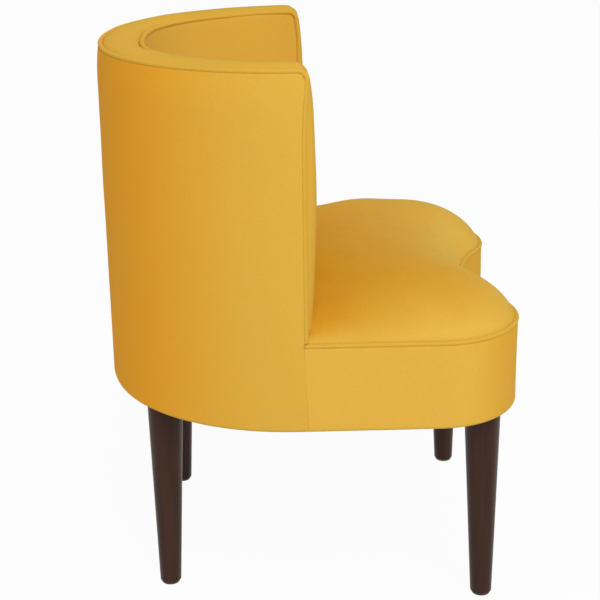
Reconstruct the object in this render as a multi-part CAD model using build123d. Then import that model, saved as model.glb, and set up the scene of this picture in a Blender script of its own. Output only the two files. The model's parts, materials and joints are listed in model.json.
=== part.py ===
from build123d import *
import math
import os

# Accent chair: a barrel back that ends in two padded wings, a crowned kidney-shaped seat and four
# tapered legs. Millimetres, +Z up. The sitter faces -Y, so the sitter's left is +X, and the origin is
# on the floor under the middle of the chair.

# Plan of the finished upholstery
HALF_WIDTH = 304.0
HALF_DEPTH = 303.0
SIDE_ARC_Y = 24.0
REAR_ARC_RADIUS = 385.0
LOBE_RADIUS = 123.0
NOTCH_DEPTH = 52.5

# Heights
GLIDE_HEIGHT = 4.0
BASE_BOTTOM = 301.5
SEAT_WELT_Z = 428.5
SEAT_EDGE_DROP = 2.0
RIM_WELT_Z = 806.0

# Border of the back: the wing corner, its padding and the crown between the two welts
WING_AXIS_Y = 19.5
CORNER_RADIUS = 12.0
BORDER_BASE = 2.0
BORDER_CROWN = 8.5
WELT_RADIUS = 3.5
CORD_RADIUS = 2.2
WELT_INSET = 2.5

# Layers of the back wall, as insets from the outside of the upholstery
COVER = 1.5
PADDING = 6.5
PANEL = 9.5
FRAME_INNER = 33.5
INNER_PANEL = 37.5
BACK_FOAM = 62.5
WALL = 64.0

# Clearance between neighbouring pieces, and how far a cutter runs past a face
PIECE_GAP = 0.5
CUT_PAST = 1.0

# Frame timber
BOARD = 18.0
RAIL_HEIGHT = 24.0
POST_DEPTH = 30.0
UPRIGHT_WIDTH = 30.0
UPRIGHT_ANGLES = (42.0, 66.0, 90.0, 114.0, 138.0)
FRAME_EDGE = 11.0
SEAT_RING_BOTTOM = 388.0
SEAT_RING_WIDTH = 70.0
BACK_SEAT_RAIL_Z = 402.0
BACK_MID_RAIL_Z = 586.0
BLOCK_SIZE = 40.0
BLOCK_PLACES = ((264.0, -30.0), (264.0, -130.0), (158.0, -262.0), (193.0, 136.0))
BLOCK_PLACES_MIDDLE = ((0.0, -214.0), (0.0, 235.0))

# Seat support and seat
WEBBING_WIDTH = 50.0
WEBBING_THICKNESS = 1.2
WEBBING_COLUMNS = (-150.0, -75.0, 0.0, 75.0, 150.0)
WEBBING_ROWS = (-170.0, -95.0, -20.0, 55.0, 130.0)
WEBBING_INSET = 42.0
WEBBING_STAPLE_INSET = 60.0
DECKING = 1.0
SEAT_FOAM_INSET = 8.0
SEAT_CROWN = ((0.0, 0.0), (8.5, 16.0), (21.0, 31.0), (42.0, 48.0), (64.0, 60.5), (84.0, 68.0), (104.0, 72.0))
SEAT_TUCK = ((0.0, 18.0), (9.0, 32.0), (26.0, 47.0), (54.0, 62.0), (108.0, 80.0))
SEAT_WING_GAP = 1.5

# Legs and their fixings
FRONT_FOOT = (234.0, -254.0)
FRONT_TOP = (229.5, -249.0)
REAR_FOOT = (178.0, 217.0)
REAR_TOP = (173.5, 213.5)
LEG_FOOT_RADIUS = 15.9
LEG_TOP_RADIUS = 26.5
LEG_EASE = 1.5
BOLT_RADIUS = 3.9
BOLT_IN_LEG = 38.0
BOLT_IN_BASE = 24.0
FIT_GAP = 0.1
T_NUT_RADIUS = 5.3
T_NUT_DEPTH = 12.0
T_NUT_FLANGE_RADIUS = 13.0
T_NUT_FLANGE = 1.6
GLIDE_RADIUS = 13.5
GLIDE_EASE = 1.2
NAIL_RADIUS = 1.3
NAIL_LENGTH = 16.0
NAIL_IN_GLIDE = 1.5

# Screws, staples and the cloth under the seat
SCREW_RADIUS = 2.0
SCREW_HEAD_RADIUS = 4.0
SCREW_HEAD = 2.6
SCREW_LENGTH = 45.0
HEM_WIDTH = 26.0
DUST_COVER = 0.8
DUST_COVER_INSET = 14.0
LEG_HOLE_GAP = 1.5
STAPLE_CROWN = 10.0
STAPLE_WIRE = 0.9
STAPLE_LEG = 6.0
DUST_STAPLE_INSET = 19.0
DUST_STAPLE_ANGLES = (15.0, 35.0, 55.0, 75.0)
DUST_STAPLE_ROWS = (0.0, -60.0, -120.0)

# Derived places
BASE_TOP = BASE_BOTTOM + BOARD
SEAT_RING_TOP = SEAT_RING_BOTTOM + BOARD
DECK_TOP = SEAT_RING_TOP + 2 * WEBBING_THICKNESS + DECKING
SEAT_EDGE_Z = SEAT_WELT_Z - SEAT_EDGE_DROP
CORNER_Z = RIM_WELT_Z - CORNER_RADIUS
RAIL_TOP = CORNER_Z + BORDER_BASE
WING_FRONT_Y = WING_AXIS_Y - CORNER_RADIUS - BORDER_CROWN - COVER
WELT_EDGE = CORNER_RADIUS - WELT_RADIUS
SEAM_Y = WING_AXIS_Y - WELT_EDGE
POST_BACK = WING_AXIS_Y - BORDER_BASE + POST_DEPTH
BORDER_OUTER = WELT_INSET + WELT_RADIUS + PIECE_GAP
BORDER_INNER = WALL - BORDER_OUTER
LEG_TOPS = (FRONT_TOP, (-FRONT_TOP[0], FRONT_TOP[1]), REAR_TOP, (-REAR_TOP[0], REAR_TOP[1]))
LEG_FEET = (FRONT_FOOT, (-FRONT_FOOT[0], FRONT_FOOT[1]), REAR_FOOT, (-REAR_FOOT[0], REAR_FOOT[1]))

# Three-centred barrel: the side arcs run into a flatter rear arc at JOIN degrees
REAR_ARC_Y = HALF_DEPTH - REAR_ARC_RADIUS
ARC_STEP = SIDE_ARC_Y - REAR_ARC_Y
SIDE_ARC_RADIUS = (REAR_ARC_RADIUS**2 - HALF_WIDTH**2 - ARC_STEP**2) / (2 * (REAR_ARC_RADIUS - HALF_WIDTH))
SIDE_ARC_X = HALF_WIDTH - SIDE_ARC_RADIUS
JOIN = math.degrees(math.atan2(ARC_STEP, SIDE_ARC_X))

# Kidney front: each lobe arc runs into the hollow arc of the notch at NOTCH_JOIN degrees
LOBE_X = HALF_WIDTH - LOBE_RADIUS
LOBE_Y = LOBE_RADIUS - HALF_DEPTH
NOTCH_RISE = LOBE_RADIUS - NOTCH_DEPTH
NOTCH_RADIUS = (LOBE_X**2 + NOTCH_RISE**2 - LOBE_RADIUS**2) / (2 * NOTCH_DEPTH)
NOTCH_Y = NOTCH_DEPTH - HALF_DEPTH - NOTCH_RADIUS
NOTCH_JOIN = math.degrees(math.atan2(LOBE_Y - NOTCH_Y, LOBE_X))


def on_arc(centre, radius, angle):
    """Point at an angle in degrees on a circle in plan."""
    turn = math.radians(angle)
    return centre[0] + radius * math.cos(turn), centre[1] + radius * math.sin(turn)


def arc(centre, radius, start, end):
    """Circular arc in plan between two angles in degrees."""
    angles = (start, (start + end) / 2, end)
    return ThreePointArc(*[on_arc(centre, radius, angle) for angle in angles])


def barrel_line(inset):
    """Edges of the barrel, from the left side round the rear to the right side."""
    side = SIDE_ARC_RADIUS - inset
    return [
        arc((SIDE_ARC_X, SIDE_ARC_Y), side, 0, JOIN),
        arc((0, REAR_ARC_Y), REAR_ARC_RADIUS - inset, JOIN, 180 - JOIN),
        arc((-SIDE_ARC_X, SIDE_ARC_Y), side, 180 - JOIN, 180),
    ]


def front_line(inset, start_y):
    """Edges of the seat front, from the right side round both lobes and the notch to the left side."""
    side = HALF_WIDTH - inset
    lobe = LOBE_RADIUS - inset
    return [
        Line((-side, start_y), (-side, LOBE_Y)),
        arc((-LOBE_X, LOBE_Y), lobe, 180, 360 - NOTCH_JOIN),
        arc((0, NOTCH_Y), NOTCH_RADIUS + inset, 180 - NOTCH_JOIN, NOTCH_JOIN),
        arc((LOBE_X, LOBE_Y), lobe, NOTCH_JOIN - 180, 0),
        Line((side, LOBE_Y), (side, start_y)),
    ]


def outline(inset):
    """Face of the whole kidney plan, drawn in by an inset."""
    return make_face(barrel_line(inset) + front_line(inset, SIDE_ARC_Y))


def prism(inset, bottom, top):
    """Upright solid on the whole plan."""
    return extrude(Pos(0, 0, bottom) * outline(inset), top - bottom)


def slab(low, high):
    """Box between two corners."""
    size = [b - a for a, b in zip(low, high)]
    middle = [(a + b) / 2 for a, b in zip(low, high)]
    return Pos(*middle) * Box(*size)


def ahead_of(y):
    """Everything in front of a plane across the chair."""
    reach = 2 * HALF_DEPTH
    return slab((-reach, y - reach, 0), (reach, y, 2 * reach))


def both_sides(solid):
    """A piece with its mirror image on the other side of the chair."""
    return solid + mirror(solid, about=Plane.YZ)


def wall_section(outer, inner, bottom, top):
    """Rectangular section of a wall layer, with the inset measured along -X."""
    return make_face(Polyline((-inner, bottom), (-outer, bottom), (-outer, top), (-inner, top), close=True))


def upright(section, radius):
    """A section stood up in the XZ plane, with its outside at a distance from the middle."""
    return Plane.XZ * (Pos(radius, 0) * section)


def turned(section, centre, radius, start, sweep_angle):
    """A section turned about an upright axis."""
    return Pos(*centre, 0) * Rot(0, 0, start) * revolve(upright(section, radius), Axis.Z, sweep_angle)


def along_barrel(section):
    """A section carried round the barrel, with the short straight runs to the wings."""
    side = turned(section, (SIDE_ARC_X, SIDE_ARC_Y), SIDE_ARC_RADIUS, 0, JOIN)
    rear = turned(section, (0, REAR_ARC_Y), REAR_ARC_RADIUS, JOIN, 180 - 2 * JOIN)
    start = Pos(0, SIDE_ARC_Y, 0) * upright(section, HALF_WIDTH)
    run = extrude(start, SIDE_ARC_Y - WING_AXIS_Y, dir=(0, -1, 0))
    return both_sides(side + run) + rear


def down_wings(section, bottom):
    """A section turned over the top corner of each wing and carried down its front edge."""
    start = Pos(0, WING_AXIS_Y, CORNER_Z) * upright(section, HALF_WIDTH)
    corner_axis = Axis((0, WING_AXIS_Y, CORNER_Z), (1, 0, 0))
    corner = revolve(start, corner_axis, 90)
    front = extrude(start.rotate(corner_axis, 90), CORNER_Z - bottom, dir=(0, 0, -1))
    return both_sides(corner + front)


def border(section, bottom):
    """A border section carried over the rim and down both wings; its height is above the corner axis."""
    return along_barrel(Pos(0, CORNER_Z) * section) + down_wings(section, bottom)


def layer(outer, inner, bottom, edge):
    """A layer of the back wall, with its free edge at a height above the corner axis."""
    wall = along_barrel(wall_section(outer, inner, bottom, CORNER_Z + edge))
    return wall + down_wings(wall_section(outer, inner, 0, edge), bottom)


def back_rail(bottom):
    """Curved rail of the back frame, between the wing posts."""
    rail = along_barrel(wall_section(PANEL, FRAME_INNER, bottom, bottom + RAIL_HEIGHT))
    return rail - ahead_of(POST_BACK)


def wing_post():
    """Upright at the left wing, under the top rail."""
    outer = SIDE_ARC_X + math.sqrt((SIDE_ARC_RADIUS - PANEL)**2 - (POST_BACK - SIDE_ARC_Y)**2)
    low = (HALF_WIDTH - FRAME_INNER, POST_BACK - POST_DEPTH, BASE_TOP)
    return slab(low, (outer - PIECE_GAP, POST_BACK, RAIL_TOP - RAIL_HEIGHT))


def barrel_place(angle, inset):
    """Plan point and wall direction on the barrel at an angle from the left-hand side."""
    if angle < JOIN:
        return on_arc((SIDE_ARC_X, SIDE_ARC_Y), SIDE_ARC_RADIUS - inset, angle), angle
    if angle > 180 - JOIN:
        return on_arc((-SIDE_ARC_X, SIDE_ARC_Y), SIDE_ARC_RADIUS - inset, angle), angle
    return on_arc((0, REAR_ARC_Y), REAR_ARC_RADIUS - inset, angle), angle


def uprights():
    """Straight uprights between the rails, in three storeys."""
    depth = FRAME_INNER - PANEL - 3 * PIECE_GAP
    storeys = (
        (BASE_TOP + RAIL_HEIGHT, BACK_SEAT_RAIL_Z),
        (BACK_SEAT_RAIL_Z + RAIL_HEIGHT, BACK_MID_RAIL_Z),
        (BACK_MID_RAIL_Z + RAIL_HEIGHT, RAIL_TOP - RAIL_HEIGHT),
    )
    solids = []
    for angle in UPRIGHT_ANGLES:
        place, turn = barrel_place(angle, (PANEL + FRAME_INNER) / 2)
        for bottom, top in storeys:
            stick = Box(depth, UPRIGHT_WIDTH, top - bottom)
            solids.append(Pos(*place, (bottom + top) / 2) * Rot(0, 0, turn) * stick)
    return solids


def block_places():
    """Plan centres of the seat box blocks."""
    right = tuple((-x, y) for x, y in BLOCK_PLACES)
    return BLOCK_PLACES + right + BLOCK_PLACES_MIDDLE


def seat_blocks():
    """Blocks that carry the seat ring on the base board."""
    height = SEAT_RING_BOTTOM - BASE_TOP
    middle = (SEAT_RING_BOTTOM + BASE_TOP) / 2
    return [Pos(x, y, middle) * Box(BLOCK_SIZE, BLOCK_SIZE, height) for x, y in block_places()]


def seat_ring():
    """Plywood ring that the webbing is stretched over, inside the back frame."""
    ring = prism(FRAME_EDGE, SEAT_RING_BOTTOM, SEAT_RING_TOP)
    ring -= prism(FRAME_EDGE + SEAT_RING_WIDTH, SEAT_RING_BOTTOM, SEAT_RING_TOP)
    inner = FRAME_INNER + PIECE_GAP
    back_zone = along_barrel(wall_section(0, inner, SEAT_RING_BOTTOM, SEAT_RING_TOP))
    wing_zone = slab((HALF_WIDTH - inner, WING_AXIS_Y - BORDER_BASE - PIECE_GAP, SEAT_RING_BOTTOM),
                     (HALF_WIDTH, SIDE_ARC_Y, SEAT_RING_TOP))
    return ring - back_zone - both_sides(wing_zone)


def straps(centres, bottom, lengthwise):
    """Webbing straps, cut to the plan."""
    span = 2 * HALF_DEPTH
    across, along = (WEBBING_WIDTH, span) if lengthwise else (span, WEBBING_WIDTH)
    field = prism(WEBBING_INSET, bottom, bottom + WEBBING_THICKNESS)
    middle = bottom + WEBBING_THICKNESS / 2
    places = [(c, 0, middle) if lengthwise else (0, c, middle) for c in centres]
    return [(Pos(*place) * Box(across, along, WEBBING_THICKNESS)) & field for place in places]


def horseshoe(inset, front_y):
    """Plan face of everything outside the barrel line and behind the wing fronts."""
    reach = 2 * HALF_DEPTH
    side = HALF_WIDTH - inset
    ends = Polyline((-side, SIDE_ARC_Y), (-side, front_y), (-reach, front_y), (-reach, reach), (reach, reach),
                    (reach, front_y), (side, front_y), (side, SIDE_ARC_Y))
    return make_face(barrel_line(inset) + [ends])


def seat_form(grow):
    """The crowned seat: domed from its welt, and tucked down along the back and the wing fronts."""
    levels = [(SEAT_FOAM_INSET - grow, DECK_TOP)]
    for step, rise in SEAT_CROWN:
        spread = grow * (1 - step / SEAT_CROWN[-1][0])
        lift = grow if step else 0
        levels.append((SEAT_FOAM_INSET + step - spread, SEAT_EDGE_Z + rise + lift))
    dome = loft([Pos(0, 0, level) * outline(inset) for inset, level in levels], ruled=True)
    back = WALL + SEAT_WING_GAP + COVER - grow
    front = WING_FRONT_Y - SEAT_WING_GAP - COVER + grow
    tucks = ((0.0, DECK_TOP - SEAT_EDGE_Z - CUT_PAST),) + SEAT_TUCK
    sections = []
    for step, rise in tucks:
        lift = grow if step else 0
        sections.append(Pos(0, 0, SEAT_EDGE_Z + rise + lift) * horseshoe(back + step, front - step))
    return dome - loft(sections, ruled=True)


def seat_cover():
    """Top cover of the seat, from the welt over the crown and down into the tuck."""
    below = slab((-HALF_WIDTH, -HALF_DEPTH, 0), (HALF_WIDTH, HALF_DEPTH, SEAT_EDGE_Z))
    return seat_form(COVER) - seat_form(0.0) - below


def front_band(outer, inner, bottom, top, start_y):
    """A band of the seat side, from wing to wing round the front."""
    band = prism(outer, bottom, top) - prism(inner, bottom, top)
    return band & ahead_of(start_y)


def welt_round_seat(radius):
    """Round cord along the seat edge, from wing to wing."""
    start_y = SEAM_Y - 2 * WELT_RADIUS - PIECE_GAP
    path = Wire(front_line(WELT_INSET, start_y))
    first = path @ 0
    section = Plane(origin=first, x_dir=(1, 0, 0), z_dir=(0, -1, 0)) * Circle(radius)
    return Pos(0, 0, SEAT_WELT_Z) * sweep(section, path=path)


def welt_section(inset, radius):
    """Round section of a border welt."""
    return Pos(-inset, CORNER_RADIUS) * Circle(radius)


def border_section(base, grow):
    """Crowned section of the border between the two welts."""
    edge = CORNER_RADIUS + grow
    middle = -WALL / 2
    lines = [
        Polyline((-BORDER_OUTER, edge), (-BORDER_OUTER, base), (-BORDER_INNER, base), (-BORDER_INNER, edge)),
        ThreePointArc((-BORDER_INNER, edge), (middle, edge + BORDER_CROWN), (-BORDER_OUTER, edge)),
    ]
    return make_face(lines)


def leg(foot, top):
    """Round tapered leg, splayed a little, with an eased foot."""
    foot_end = Pos(*foot, GLIDE_HEIGHT) * Circle(LEG_FOOT_RADIUS)
    top_end = Pos(*top, BASE_BOTTOM) * Circle(LEG_TOP_RADIUS)
    blank = loft([foot_end, top_end], ruled=True)
    blank = fillet(blank.edges().sort_by(Axis.Z)[0], LEG_EASE)
    bolt_hole = rod(top, BASE_BOTTOM - BOLT_IN_LEG, BASE_BOTTOM, BOLT_RADIUS + FIT_GAP)
    nail_hole = rod(foot, GLIDE_HEIGHT, GLIDE_HEIGHT + NAIL_LENGTH, NAIL_RADIUS + FIT_GAP)
    return blank - bolt_hole - nail_hole


def rod(place, bottom, top, radius):
    """Upright cylinder."""
    return extrude(Pos(*place, bottom) * Circle(radius), top - bottom)


def t_nut(place):
    """Flanged nut pressed into the base board from above."""
    body = rod(place, BASE_TOP - T_NUT_DEPTH, BASE_TOP, T_NUT_RADIUS)
    flange = rod(place, BASE_TOP, BASE_TOP + T_NUT_FLANGE, T_NUT_FLANGE_RADIUS)
    return body + flange - rod(place, BASE_TOP - T_NUT_DEPTH, BASE_TOP + T_NUT_FLANGE, BOLT_RADIUS + FIT_GAP)


def glide(place):
    """Round plastic glide under a leg."""
    disc = fillet(rod(place, 0, GLIDE_HEIGHT, GLIDE_RADIUS).edges().sort_by(Axis.Z)[0], GLIDE_EASE)
    return disc - rod(place, GLIDE_HEIGHT - NAIL_IN_GLIDE, GLIDE_HEIGHT, NAIL_RADIUS + FIT_GAP)


def screw(place, head_z, down, grow):
    """Countersunk wood screw with its head flush at a height; grow makes its hole."""
    way = -1 if down else 1
    head = [Pos(*place, head_z) * Circle(SCREW_HEAD_RADIUS + grow),
            Pos(*place, head_z + way * SCREW_HEAD) * Circle(SCREW_RADIUS + grow)]
    tip = head_z + way * SCREW_LENGTH
    return loft(head, ruled=True) + rod(place, min(head_z, tip), max(head_z, tip), SCREW_RADIUS + grow)


def screw_set(places, head_z, down):
    """Screws and the one cutter that makes all their holes."""
    screws = [screw(place, head_z, down, 0) for place in places]
    holes = [screw(place, head_z, down, FIT_GAP) for place in places]
    return screws, holes


def staple(place, turn, top, up):
    """Wire staple whose crown lies on a surface and whose legs go in behind it."""
    way = 1 if up else -1
    crown = Pos(0, 0, -way * STAPLE_WIRE / 2) * Box(STAPLE_CROWN, STAPLE_WIRE, STAPLE_WIRE)
    reach = (STAPLE_CROWN - STAPLE_WIRE) / 2
    prong = Pos(reach, 0, way * STAPLE_LEG / 2) * Box(STAPLE_WIRE, STAPLE_WIRE, STAPLE_LEG)
    return Pos(*place, top) * Rot(0, 0, turn) * (crown + both_sides(prong))


def dust_staple_places():
    """Places and directions of the staples round the dust cover."""
    places = []
    for angle in DUST_STAPLE_ANGLES:
        for turn in (angle, 180 - angle):
            place, normal = barrel_place(turn, DUST_STAPLE_INSET)
            places.append((place, normal + 90))
        lobe = on_arc((LOBE_X, LOBE_Y), LOBE_RADIUS - DUST_STAPLE_INSET, -angle)
        if math.dist(lobe, FRONT_TOP) > LEG_TOP_RADIUS + STAPLE_CROWN:
            places.append((lobe, 90 - angle))
            places.append(((-lobe[0], lobe[1]), 90 + angle))
    for y in DUST_STAPLE_ROWS:
        for side in (-1, 1):
            places.append(((side * (HALF_WIDTH - DUST_STAPLE_INSET), y), 90))
    places.append(((0, NOTCH_Y + NOTCH_RADIUS + DUST_STAPLE_INSET), 0))
    return [p for p in places if min(math.dist(p[0], t) for t in LEG_TOPS) > LEG_TOP_RADIUS + STAPLE_CROWN]


def web_staple_places():
    """Places and directions of the staples at the strap ends."""
    places = []
    rear_radius = REAR_ARC_RADIUS - WEBBING_STAPLE_INSET
    side_radius = SIDE_ARC_RADIUS - WEBBING_STAPLE_INSET
    lobe_radius = LOBE_RADIUS - WEBBING_STAPLE_INSET
    notch_radius = NOTCH_RADIUS + WEBBING_STAPLE_INSET
    notch_end = on_arc((0, NOTCH_Y), notch_radius, NOTCH_JOIN)[0]
    for x in WEBBING_COLUMNS:
        rear = REAR_ARC_Y + math.sqrt(rear_radius**2 - x**2)
        if abs(x) < notch_end:
            front = NOTCH_Y + math.sqrt(notch_radius**2 - x**2)
        else:
            front = LOBE_Y - math.sqrt(lobe_radius**2 - (abs(x) - LOBE_X)**2)
        places += [((x, rear), 0), ((x, front), 0)]
    for y in WEBBING_ROWS:
        past_arc = max(0, y - SIDE_ARC_Y)
        side = SIDE_ARC_X + math.sqrt(side_radius**2 - past_arc**2)
        places += [((side, y), 90), ((-side, y), 90)]
    return places


def leg_holes(bottom, top):
    """Clearance round the four legs."""
    return [rod(place, bottom, top, LEG_TOP_RADIUS + LEG_HOLE_GAP) for place in LEG_TOPS]


def cut(solid, cutters):
    """A solid less every cutter."""
    for cutter in cutters:
        solid = solid - cutter
    return solid


def hem():
    """Cover cloth turned under the base board all round, with room for the legs."""
    ring = prism(0, BASE_BOTTOM - COVER, BASE_BOTTOM) - prism(HEM_WIDTH, BASE_BOTTOM - COVER, BASE_BOTTOM)
    return cut(ring, leg_holes(BASE_BOTTOM - COVER, BASE_BOTTOM))


def build():
    """Every node of the chair, as a dictionary from its name to a solid or a list of solids."""
    nodes = {}

    # Fixings first, because their holes are cut into the timber
    post = wing_post()
    mid_frame = (PANEL + FRAME_INNER) / 2
    frame_places = [barrel_place(angle, mid_frame)[0] for angle in UPRIGHT_ANGLES]
    for side in (1, -1):
        frame_places.append((side * (HALF_WIDTH - mid_frame), POST_BACK - POST_DEPTH / 2))
    rail_screws, rail_holes = screw_set(frame_places, RAIL_TOP, True)
    base_screws, base_holes = screw_set(frame_places + list(block_places()), BASE_BOTTOM, False)
    ring_screws, ring_holes = screw_set(block_places(), SEAT_RING_TOP, True)
    dust_bottom = BASE_BOTTOM - COVER - DUST_COVER
    dust_staples = [staple(place, turn, dust_bottom, True) for place, turn in dust_staple_places()]
    web_top = SEAT_RING_TOP + 2 * WEBBING_THICKNESS
    nut_holes = [rod(place, BASE_BOTTOM, BASE_TOP, T_NUT_RADIUS) for place in LEG_TOPS]

    # Base and seat box
    base = prism(FRAME_EDGE, BASE_BOTTOM, BASE_TOP)
    nodes["base_board"] = cut(base, nut_holes + base_holes + dust_staples)
    blocks = seat_blocks()
    nodes["seat_box_blocks"] = [cut(block, base_holes + ring_holes) for block in blocks]
    panel_end = WING_AXIS_Y - BORDER_BASE - PIECE_GAP
    nodes["seat_side_panel"] = front_band(PADDING, PANEL, BASE_BOTTOM, SEAT_RING_TOP, panel_end)

    # Back frame
    nut_reach = T_NUT_FLANGE_RADIUS + FIT_GAP
    nut_room = [rod(place, BASE_TOP, BASE_TOP + RAIL_HEIGHT, nut_reach) for place in LEG_TOPS]
    nodes["back_bottom_rail"] = cut(back_rail(BASE_TOP), base_holes + nut_room)
    nodes["back_seat_rail"] = back_rail(BACK_SEAT_RAIL_Z)
    nodes["back_mid_rail"] = back_rail(BACK_MID_RAIL_Z)
    top_rail = layer(PANEL, FRAME_INNER, RAIL_TOP - RAIL_HEIGHT, BORDER_BASE)
    nodes["back_top_rail"] = cut(top_rail, rail_holes)
    nodes["wing_post_left"] = cut(post, rail_holes + base_holes)
    nodes["wing_post_right"] = cut(mirror(post, about=Plane.YZ), rail_holes + base_holes)
    nodes["back_uprights"] = [cut(stick, rail_holes + base_holes) for stick in uprights()]
    nodes["outer_back_panel"] = layer(PADDING, PANEL, BASE_BOTTOM, BORDER_BASE)
    nodes["inner_back_panel"] = layer(FRAME_INNER, INNER_PANEL, DECK_TOP, BORDER_BASE)

    # Seat support
    lengthwise = straps(WEBBING_COLUMNS, SEAT_RING_TOP, True)
    crosswise = straps(WEBBING_ROWS, SEAT_RING_TOP + WEBBING_THICKNESS, False)
    web_staples = []
    for place, turn in web_staple_places():
        level = SEAT_RING_TOP + WEBBING_THICKNESS if turn == 0 else web_top
        web_staples.append(staple(place, turn, level, False))
    nodes["seat_ring"] = cut(seat_ring(), ring_holes + web_staples)
    nodes["webbing_lengthwise"] = [cut(strap, web_staples) for strap in lengthwise]
    nodes["webbing_crosswise"] = [cut(strap, web_staples) for strap in crosswise]
    decking = prism(WEBBING_INSET, web_top, DECK_TOP)
    nodes["seat_decking"] = cut(decking, web_staples)

    # Foam and padding
    nodes["seat_foam"] = seat_form(0.0)
    nodes["inside_back_foam"] = layer(INNER_PANEL, BACK_FOAM, DECK_TOP, BORDER_BASE)
    nodes["outside_back_padding"] = layer(COVER, PADDING, BASE_BOTTOM, WELT_EDGE - PIECE_GAP)
    nodes["border_padding"] = border(border_section(BORDER_BASE, 0.0), DECK_TOP)
    nodes["seat_boxing_padding"] = front_band(COVER, PADDING, BASE_BOTTOM, SEAT_WELT_Z - WELT_RADIUS, SEAM_Y)

    # Covers and welts
    outside = layer(0, COVER, BASE_BOTTOM - COVER, WELT_EDGE)
    nodes["outside_back_cover"] = outside + (hem() - ahead_of(SEAM_Y))
    boxing = front_band(0, COVER, BASE_BOTTOM - COVER, SEAT_WELT_Z - WELT_RADIUS, SEAM_Y)
    nodes["seat_boxing_cover"] = boxing + (hem() & ahead_of(SEAM_Y))
    nodes["inside_back_cover"] = layer(BACK_FOAM, WALL, DECK_TOP, WELT_EDGE)
    shell = border(border_section(CORNER_RADIUS, COVER), DECK_TOP)
    nodes["border_band_cover"] = shell - border(border_section(BORDER_BASE, 0.0), DECK_TOP)
    nodes["seat_top_cover"] = seat_cover()
    seat_cord = welt_round_seat(CORD_RADIUS)
    nodes["seat_welt_cord"] = seat_cord
    nodes["seat_welt"] = welt_round_seat(WELT_RADIUS) - seat_cord
    welt_foot = SEAT_WELT_Z + WELT_RADIUS + PIECE_GAP
    for name, inset, foot in (("outer", WELT_INSET, welt_foot), ("inner", WALL - WELT_INSET, DECK_TOP)):
        cord = border(welt_section(inset, CORD_RADIUS), foot)
        nodes[f"{name}_back_welt_cord"] = cord
        nodes[f"{name}_back_welt"] = border(welt_section(inset, WELT_RADIUS), foot) - cord
    dust = prism(DUST_COVER_INSET, dust_bottom, BASE_BOTTOM - COVER)
    nodes["dust_cover"] = cut(dust, leg_holes(dust_bottom, BASE_BOTTOM - COVER) + dust_staples)
    for name in ("outside_back_cover", "seat_boxing_cover"):
        nodes[name] = cut(nodes[name], dust_staples)

    # Legs and small hardware
    leg_names = ("front_left", "front_right", "rear_left", "rear_right")
    for name, foot, top in zip(leg_names, LEG_FEET, LEG_TOPS):
        nodes[f"{name}_leg"] = leg(foot, top)
        nodes[f"{name}_glide"] = glide(foot)
    nail_bottom = GLIDE_HEIGHT - NAIL_IN_GLIDE
    nodes["glide_nails"] = [rod(f, nail_bottom, GLIDE_HEIGHT + NAIL_LENGTH, NAIL_RADIUS) for f in LEG_FEET]
    bolt_bottom = BASE_BOTTOM - BOLT_IN_LEG
    nodes["hanger_bolts"] = [rod(t, bolt_bottom, BASE_BOTTOM + BOLT_IN_BASE, BOLT_RADIUS) for t in LEG_TOPS]
    nodes["t_nuts"] = [t_nut(place) for place in LEG_TOPS]
    nodes["top_rail_screws"] = rail_screws
    nodes["base_screws"] = base_screws
    nodes["seat_ring_screws"] = ring_screws
    nodes["dust_cover_staples"] = dust_staples
    nodes["webbing_staples"] = web_staples
    return nodes


def solids_of(shape):
    """All solids of a shape or a list of shapes."""
    shapes = shape if isinstance(shape, list) else [shape]
    return [solid for item in shapes for solid in item.solids()]


os.makedirs("parts", exist_ok=True)
for node, shape in build().items():
    solids = solids_of(shape)
    export_step(solids[0] if len(solids) == 1 else Compound(children=solids), f"parts/{node}.step")
    print(node, len(solids), "solid(s), volume", round(sum(solid.volume for solid in solids)))
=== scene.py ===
import json
import math

import bmesh
import bpy
import numpy as np
from mathutils import Matrix, Vector, noise


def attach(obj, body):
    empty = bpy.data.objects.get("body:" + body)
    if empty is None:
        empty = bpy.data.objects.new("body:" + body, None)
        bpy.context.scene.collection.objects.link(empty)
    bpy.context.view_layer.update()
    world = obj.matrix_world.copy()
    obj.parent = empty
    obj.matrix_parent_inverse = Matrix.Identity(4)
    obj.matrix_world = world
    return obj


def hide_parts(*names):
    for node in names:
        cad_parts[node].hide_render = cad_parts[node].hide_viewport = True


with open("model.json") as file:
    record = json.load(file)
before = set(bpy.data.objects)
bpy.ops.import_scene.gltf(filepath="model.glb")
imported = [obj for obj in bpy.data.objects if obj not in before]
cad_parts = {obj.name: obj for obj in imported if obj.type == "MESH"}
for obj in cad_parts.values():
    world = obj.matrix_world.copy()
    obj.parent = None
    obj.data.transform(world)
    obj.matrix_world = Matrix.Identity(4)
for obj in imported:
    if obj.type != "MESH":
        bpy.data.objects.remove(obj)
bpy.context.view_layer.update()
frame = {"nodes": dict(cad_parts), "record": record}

# Plan of the chair, in metres, the same as the frame's
HALF_WIDTH = 0.304
HALF_DEPTH = 0.303
SIDE_ARC_Y = 0.024
REAR_ARC_RADIUS = 0.385
LOBE_RADIUS = 0.123
NOTCH_DEPTH = 0.0525

# Heights
UNDERSIDE_Z = 0.300
DECK_Z = 0.410
SEAT_WELT_Z = 0.4285
RIM_WELT_Z = 0.806

# Border between the two welts of the back
WING_AXIS_Y = 0.0195
CORNER_RADIUS = 0.012
WELT_RADIUS = 0.0035
WELT_INSET = 0.0025
WELT_BED = 0.0012
WALL = 0.064
INNER_FOOT_Z = DECK_Z + 0.001
WADDING_BACK = 0.0063
FOAM_BACK = 0.038

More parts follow.
